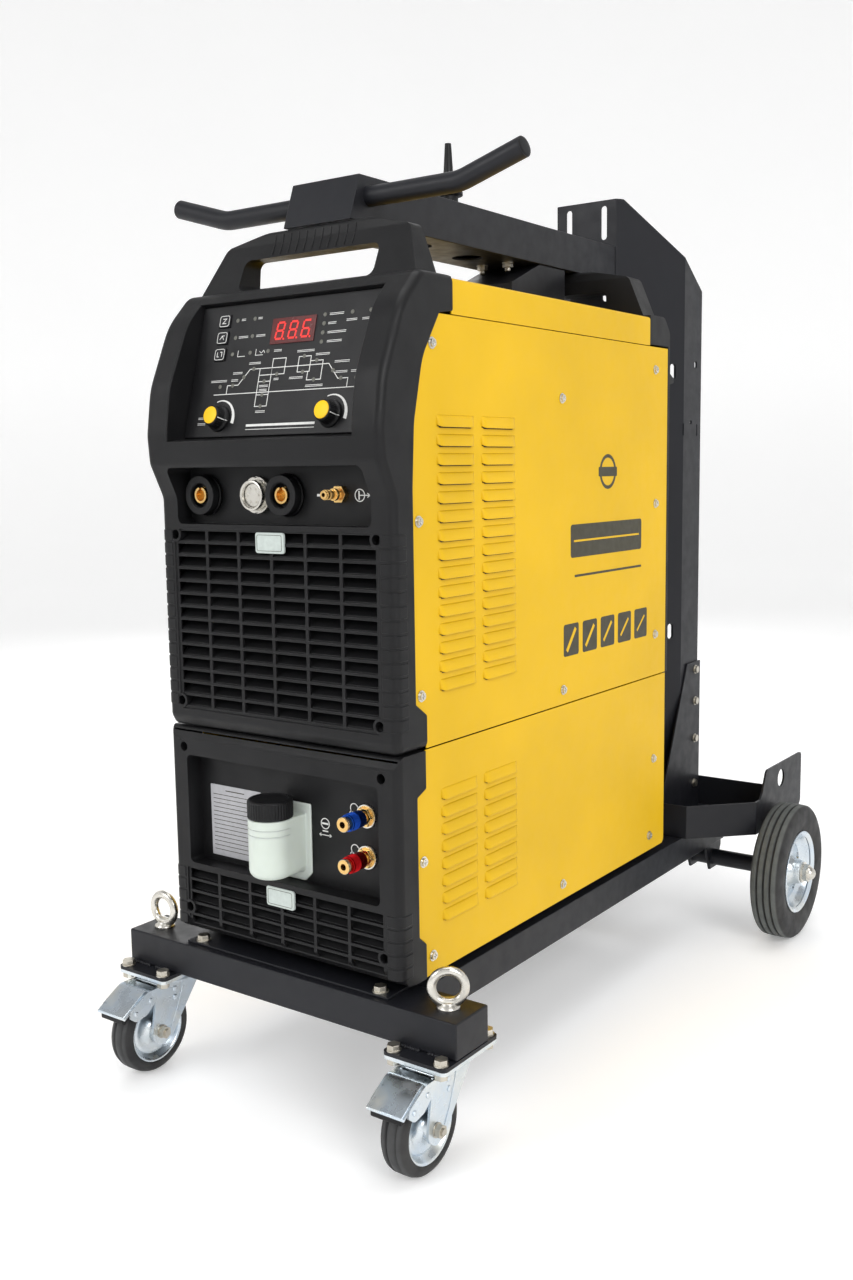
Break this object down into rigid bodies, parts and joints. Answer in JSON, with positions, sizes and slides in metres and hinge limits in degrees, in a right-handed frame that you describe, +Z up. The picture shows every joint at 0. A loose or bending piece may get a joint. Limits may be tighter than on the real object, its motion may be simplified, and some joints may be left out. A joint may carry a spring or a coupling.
{
  "type": "tig welder",
  "caption": "Wheeled TIG welder: yellow power source stacked on a water cooler, on a black cart with casters, column, handlebar and gas bottle tray.",
  "frame": {"origin": "on the floor under the middle of the whole machine", "axes": "+Z up, +Y to the rear where the gas bottle stands, +X to the right seen from the rear, which is the machine's side with the gas outlet"},
  "size_m": [0.6501, 1.049, 1.1205],
  "materials": {
    "yellow_paint": "satin",
    "black_paint": "satin",
    "black_plastic": "matte",
    "panel_print": "satin",
    "red_window": "gloss",
    "key_grey": "satin",
    "zinc_plate": "satin",
    "bright_steel": "satin",
    "plated_bolts": "satin",
    "brass": "satin",
    "caster_rubber": "matte",
    "wheel_rubber": "matte",
    "tank_plastic": "satin",
    "blue_sleeve": "satin",
    "red_sleeve": "satin",
    "inner_metal": "matte",
    "inner_plastic": "matte",
    "yellow_cap": "satin",
    "white_print": "matte",
    "badge_plate": "satin",
    "dark_print": "matte"
  },
  "bodies": {
    "frame": {"front_cross_tube": "black_paint", "side_rails": "black_paint", "rear_cross_tube": "black_paint", "base_pan": "black_paint", "caster_mount_plates": "black_paint", "eyebolt_right": "bright_steel", "eyebolt_left": "bright_steel", "frame_bolts": "plated_bolts", "column": "black_paint", "column_gussets": "black_paint", "bottle_tray": "black_paint", "top_arm": "black_paint", "handlebar": "black_paint", "cable_peg": "black_plastic", "arm_bracket": "black_paint", "caster_plates": "zinc_plate", "rear_axle": "black_paint", "axle_nuts": "bright_steel", "side_panel_right": "yellow_paint", "side_panel_left": "yellow_paint", "front_bezel": "black_plastic", "rear_bezel": "black_plastic", "top_cover": "yellow_paint", "control_panel": "panel_print", "display_window": "red_window", "output_sockets": "black_plastic", "socket_contacts": "brass", "control_socket": "bright_steel", "gas_outlet": "brass", "power_module": "inner_metal", "panel_screws": "bright_steel", "cooler_bezel": "black_plastic", "cooler_shell": "yellow_paint", "coolant_tank": "tank_plastic", "coolant_couplers": "brass", "pump_unit": "inner_plastic"},
    "caster_right": {"caster_fork_right": "zinc_plate", "caster_axle_right": "plated_bolts"},
    "caster_wheel_right": {"caster_rim_right": "zinc_plate", "caster_tyre_right": "caster_rubber"},
    "pedal_right": {"brake_pedal_right": "zinc_plate"},
    "rear_wheel_right": {"rear_hub_right": "zinc_plate", "rear_tyre_right": "wheel_rubber"},
    "knob_right": {"knob_right": "black_plastic"},
    "caster_left": {"caster_fork_left": "zinc_plate", "caster_axle_left": "plated_bolts"},
    "caster_wheel_left": {"caster_rim_left": "zinc_plate", "caster_tyre_left": "caster_rubber"},
    "pedal_left": {"brake_pedal_left": "zinc_plate"},
    "rear_wheel_left": {"rear_hub_left": "zinc_plate", "rear_tyre_left": "wheel_rubber"},
    "knob_left": {"knob_left": "black_plastic"},
    "button_upper": {"button_upper": "key_grey"},
    "button_middle": {"button_middle": "key_grey"},
    "button_lower": {"button_lower": "key_grey"},
    "cooling_fan": {"cooling_fan": "inner_plastic"},
    "power_switch": {"power_switch": "inner_plastic"},
    "coolant_cap": {"coolant_cap": "black_plastic"},
    "coupler_sleeve_blue": {"coupler_sleeve_blue": "blue_sleeve"},
    "coupler_sleeve_red": {"coupler_sleeve_red": "red_sleeve"}
  },
  "joints": [
    {"name": "caster_swivel_right", "type": "hinge", "parent": "frame", "child": "caster_right", "pos_m": [0.203, -0.4265, 0.114], "axis": [0, 0, 1], "continuous": true},
    {"name": "caster_roll_right", "type": "hinge", "parent": "caster_right", "child": "caster_wheel_right", "pos_m": [0.203, -0.466, 0.051], "axis": [1, 0, 0], "continuous": true},
    {"name": "brake_right", "type": "hinge", "parent": "caster_right", "child": "pedal_right", "pos_m": [0.203, -0.463, 0.106], "axis": [1, 0, 0], "range_deg": [0, 8]},
    {"name": "rear_roll_right", "type": "hinge", "parent": "frame", "child": "rear_wheel_right", "pos_m": [0.281, 0.383, 0.1016], "axis": [1, 0, 0], "continuous": true},
    {"name": "dial_right", "type": "hinge", "parent": "frame", "child": "knob_right", "pos_m": [0.08, -0.43453, 0.77695], "axis": [0, -0.9645, 0.2642], "range_deg": [-150, 150]},
    {"name": "caster_swivel_left", "type": "hinge", "parent": "frame", "child": "caster_left", "pos_m": [-0.203, -0.4265, 0.114], "axis": [0, 0, 1], "continuous": true},
    {"name": "caster_roll_left", "type": "hinge", "parent": "caster_left", "child": "caster_wheel_left", "pos_m": [-0.203, -0.466, 0.051], "axis": [1, 0, 0], "continuous": true},
    {"name": "brake_left", "type": "hinge", "parent": "caster_left", "child": "pedal_left", "pos_m": [-0.203, -0.463, 0.106], "axis": [1, 0, 0], "range_deg": [0, 8]},
    {"name": "rear_roll_left", "type": "hinge", "parent": "frame", "child": "rear_wheel_left", "pos_m": [-0.281, 0.383, 0.1016], "axis": [1, 0, 0], "continuous": true},
    {"name": "dial_left", "type": "hinge", "parent": "frame", "child": "knob_left", "pos_m": [-0.08, -0.43453, 0.77695], "axis": [0, -0.9645, 0.2642], "range_deg": [-150, 150]},
    {"name": "press_upper", "type": "slide", "parent": "frame", "child": "button_upper", "axis": [0, 0.9645, -0.2642], "range_m": [0, 0.0012], "stiffness_N_per_m": 200},
    {"name": "press_middle", "type": "slide", "parent": "frame", "child": "button_middle", "axis": [0, 0.9645, -0.2642], "range_m": [0, 0.0012], "stiffness_N_per_m": 200},
    {"name": "press_lower", "type": "slide", "parent": "frame", "child": "button_lower", "axis": [0, 0.9645, -0.2642], "range_m": [0, 0.0012], "stiffness_N_per_m": 200},
    {"name": "fan_turn", "type": "hinge", "parent": "frame", "child": "cooling_fan", "pos_m": [0, 0.175, 0.64], "axis": [0, 1, 0], "continuous": true},
    {"name": "switch_rock", "type": "hinge", "parent": "frame", "child": "power_switch", "pos_m": [0.095, 0.194, 0.835], "axis": [1, 0, 0], "range_deg": [0, 12]},
    {"name": "cap_turn", "type": "hinge", "parent": "frame", "child": "coolant_cap", "pos_m": [-0.002, -0.456, 0.345], "axis": [0, 0, 1], "continuous": true},
    {"name": "sleeve_blue", "type": "slide", "parent": "frame", "child": "coupler_sleeve_blue", "axis": [0, 1, 0], "range_m": [0, 0.003]},
    {"name": "sleeve_red", "type": "slide", "parent": "frame", "child": "coupler_sleeve_red", "axis": [0, 1, 0], "range_m": [0, 0.003]}
  ]
}
